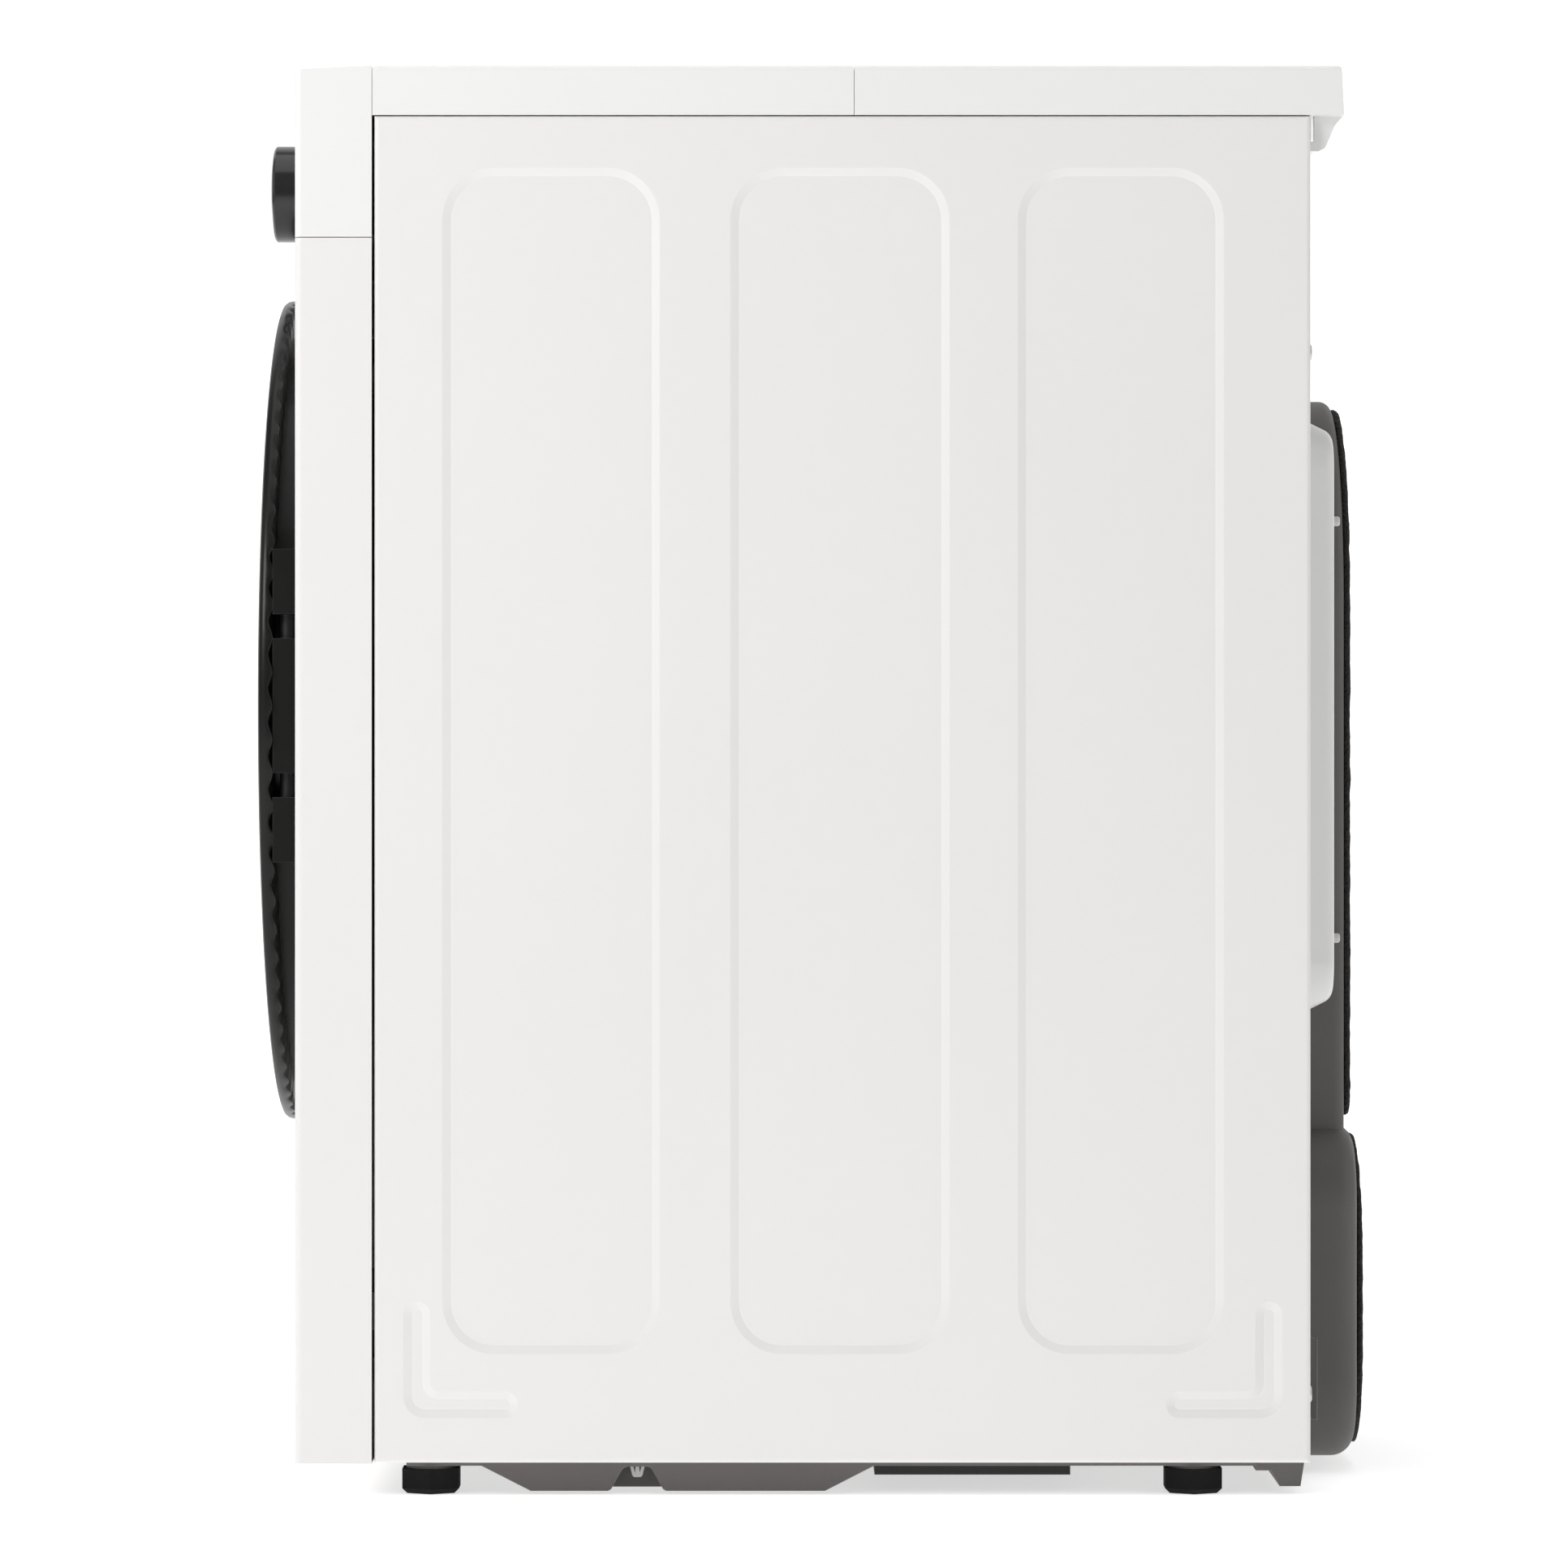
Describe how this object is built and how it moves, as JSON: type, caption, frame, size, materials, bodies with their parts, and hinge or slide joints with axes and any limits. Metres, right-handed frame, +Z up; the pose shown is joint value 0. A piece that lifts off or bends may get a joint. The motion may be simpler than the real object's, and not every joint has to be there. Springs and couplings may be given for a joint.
{
  "type": "clothes dryer",
  "caption": "Free-standing front-loading heat-pump clothes dryer with a round hinged door, a drum, a drawer water tank, a selector knob and levelling feet.",
  "frame": {"origin": "on the floor under the middle of the machine's box", "axes": "+Z up, front towards -Y, +X to the right seen from the front"},
  "size_m": [0.6, 0.682, 0.85],
  "materials": {
    "white_steel": "gloss powder coat",
    "white_plastic": "smooth moulding",
    "worktop_board": "fine pearl laminate",
    "black_glass": "tinted",
    "clear_plastic": "translucent moulding",
    "grey_plastic": "fine texture",
    "dark_plastic": "satin",
    "black_gloss": "gloss",
    "silver_cap": "satin",
    "bare_steel": "zinc plated",
    "drum_steel": "stainless, satin",
    "seal_rubber": "matt",
    "pad_foam": "felted foam",
    "felt": "wool felt",
    "clip_nylon": "natural nylon",
    "fin_aluminium": "bare fins",
    "copper": "drawn copper",
    "black_can": "satin black",
    "belt_rubber": "matt",
    "board_green": "solder mask"
  },
  "bodies": {
    "cabinet": {"side_panel_left": "white_steel", "side_panel_right": "white_steel", "front_panel": "white_steel", "control_panel": "white_plastic", "display_window": "black_glass", "control_board": "board_green", "rear_panel": "white_steel", "top_panel": "worktop_board", "top_frame_front": "white_plastic", "top_frame_rear": "white_plastic", "rear_top_brackets": "white_plastic", "rear_duct_cover": "grey_plastic", "duct_pads": "pad_foam", "nylon_clips": "clip_nylon", "rear_screws": "bare_steel", "cord_gland": "dark_plastic", "base_housing": "grey_plastic", "base_bottom_plate": "dark_plastic", "rear_skid": "grey_plastic", "front_bulkhead": "grey_plastic", "filter_duct": "grey_plastic", "rear_bulkhead": "drum_steel", "door_seal": "seal_rubber", "drum_felts": "felt", "roller_shafts": "bare_steel", "motor_housing": "bare_steel", "drive_belt": "belt_rubber", "tension_spring": "bare_steel", "compressor": "black_can", "compressor_mounts": "seal_rubber", "heat_exchangers": "fin_aluminium", "refrigerant_pipes": "copper", "drain_pump": "dark_plastic", "hinge_bracket": "bare_steel", "door_latch": "dark_plastic", "tank_housing": "grey_plastic"},
    "door": {"door_ring": "dark_plastic", "door_pane": "black_glass", "door_frame": "dark_plastic", "door_bowl": "black_glass", "hinge_pins": "bare_steel"},
    "knob": {"knob_body": "black_gloss", "knob_cap": "silver_cap"},
    "power_key": {"power_button": "white_plastic"},
    "start_key": {"start_button": "white_plastic"},
    "tank": {"water_tank": "clear_plastic", "tank_front": "white_plastic"},
    "filter": {"lint_filter": "grey_plastic"},
    "drum": {"drum_shell": "drum_steel", "drum_lifters": "grey_plastic"},
    "rotor": {"motor_shaft": "bare_steel", "blower_wheel": "dark_plastic"},
    "idler": {"idler_arm": "bare_steel"},
    "idler_wheel": {"idler_pulley": "dark_plastic"},
    "left_roller": {"roller_left": "dark_plastic"},
    "right_roller": {"roller_right": "dark_plastic"},
    "front_left_foot": {"foot_front_left": "dark_plastic"},
    "front_right_foot": {"foot_front_right": "dark_plastic"},
    "rear_left_foot": {"foot_rear_left": "dark_plastic"},
    "rear_right_foot": {"foot_rear_right": "dark_plastic"}
  },
  "joints": [
    {"name": "door_hinge", "type": "hinge", "parent": "cabinet", "child": "door", "pos_m": [0.243, -0.3145, 0.471], "axis": [0, 0, 1], "range_deg": [0, 130]},
    {"name": "knob_turn", "type": "hinge", "parent": "cabinet", "child": "knob", "pos_m": [0, -0.306, 0.799], "axis": [0, 1, 0], "continuous": true},
    {"name": "power_press", "type": "slide", "parent": "cabinet", "child": "power_key", "axis": [0, 1, 0], "range_m": [0, 0.0015], "stiffness_N_per_m": 600, "springref_m": -0.002},
    {"name": "start_press", "type": "slide", "parent": "cabinet", "child": "start_key", "axis": [0, 1, 0], "range_m": [0, 0.0015], "stiffness_N_per_m": 600, "springref_m": -0.002},
    {"name": "tank_slide", "type": "slide", "parent": "cabinet", "child": "tank", "axis": [0, -1, 0], "range_m": [0, 0.42]},
    {"name": "filter_lift", "type": "slide", "parent": "cabinet", "child": "filter", "axis": [0, 0, 1], "range_m": [0, 0.165]},
    {"name": "drum_spin", "type": "hinge", "parent": "cabinet", "child": "drum", "pos_m": [0, 0.004, 0.471], "axis": [0, 1, 0], "continuous": true},
    {"name": "motor_spin", "type": "hinge", "parent": "cabinet", "child": "rotor", "pos_m": [0.03, 0.204, 0.118], "axis": [0, 1, 0], "continuous": true},
    {"name": "idler_swing", "type": "hinge", "parent": "cabinet", "child": "idler", "pos_m": [-0.02, 0.128, 0.075], "axis": [0, 1, 0], "range_deg": [-8, 6], "stiffness_Nm_per_rad": 3, "deforming": ["tension_spring", "drive_belt"]},
    {"name": "idler_spin", "type": "hinge", "parent": "idler", "child": "idler_wheel", "pos_m": [-0.045, 0.115, 0.15], "axis": [0, 1, 0], "continuous": true},
    {"name": "roller_left_spin", "type": "hinge", "parent": "cabinet", "child": "left_roller", "pos_m": [-0.17511, 0.209, 0.22091], "axis": [0, 1, 0], "continuous": true},
    {"name": "roller_right_spin", "type": "hinge", "parent": "cabinet", "child": "right_roller", "pos_m": [0.17511, 0.209, 0.22091], "axis": [0, 1, 0], "continuous": true},
    {"name": "foot_front_left_screw", "type": "slide", "parent": "cabinet", "child": "front_left_foot", "axis": [0, 0, -1], "range_m": [0, 0.012]},
    {"name": "foot_front_right_screw", "type": "slide", "parent": "cabinet", "child": "front_right_foot", "axis": [0, 0, -1], "range_m": [0, 0.012]},
    {"name": "foot_rear_left_screw", "type": "slide", "parent": "cabinet", "child": "rear_left_foot", "axis": [0, 0, -1], "range_m": [0, 0.012]},
    {"name": "foot_rear_right_screw", "type": "slide", "parent": "cabinet", "child": "rear_right_foot", "axis": [0, 0, -1], "range_m": [0, 0.012]}
  ],
  "couplings": [
    {"joint": "motor_spin", "follows": "drum_spin", "ratio": 30.556},
    {"joint": "idler_spin", "follows": "drum_spin", "ratio": 19.643},
    {"joint": "roller_left_spin", "follows": "drum_spin", "ratio": -9.1667},
    {"joint": "roller_right_spin", "follows": "drum_spin", "ratio": -9.1667}
  ]
}
